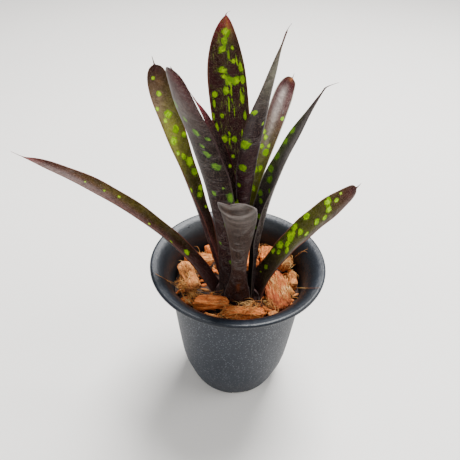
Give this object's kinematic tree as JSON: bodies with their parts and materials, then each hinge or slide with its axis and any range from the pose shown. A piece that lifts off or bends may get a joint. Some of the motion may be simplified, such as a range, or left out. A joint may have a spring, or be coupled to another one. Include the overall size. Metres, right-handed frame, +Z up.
{
  "type": "potted bromeliad",
  "caption": "Small spotted bromeliad with channelled strap leaves in a rosette, standing in a tapered nursery pot with a wide curved rim, topped with loose coconut husk chips.",
  "frame": {"origin": "on the ground at the centre of the pot's underside, on the pot's axis", "axes": "+Z up along the pot's axis, -Y towards the front of the plant, +X to the viewer's right seen from the front"},
  "size_m": [0.1784, 0.1495, 0.2423],
  "materials": {
    "pot_plastic": "slate grey moulded plastic, fine grain outside, smoother rim",
    "medium": "dark damp bark and husk mix",
    "stem_tissue": "pale firm plant tissue",
    "leaf": "satin maroon to dark olive leaf with lime green blotches, silvery cross bands of fine scales underneath",
    "husk": "dry fibrous orange-tan coconut husk"
  },
  "bodies": {
    "root": {"pot": "pot_plastic", "growing_medium": "medium", "stem": "stem_tissue", "leaf_left_low": "leaf", "leaf_back_left": "leaf", "leaf_front_left": "leaf", "leaf_centre_back": "leaf", "leaf_inner_young": "leaf", "leaf_front_right": "leaf", "leaf_back_right": "leaf", "leaf_right": "leaf", "leaf_right_low": "leaf", "leaf_front": "leaf", "chip_01": "husk", "chip_02": "husk", "chip_03": "husk", "chip_04": "husk", "chip_05": "husk", "chip_06": "husk", "chip_07": "husk", "chip_08": "husk", "chip_09": "husk", "chip_10": "husk", "chip_11": "husk", "chip_12": "husk", "chip_13": "husk", "chip_14": "husk", "chip_15": "husk", "chip_16": "husk", "chip_17": "husk", "chip_18": "husk", "chip_19": "husk"}
  },
  "joints": []
}
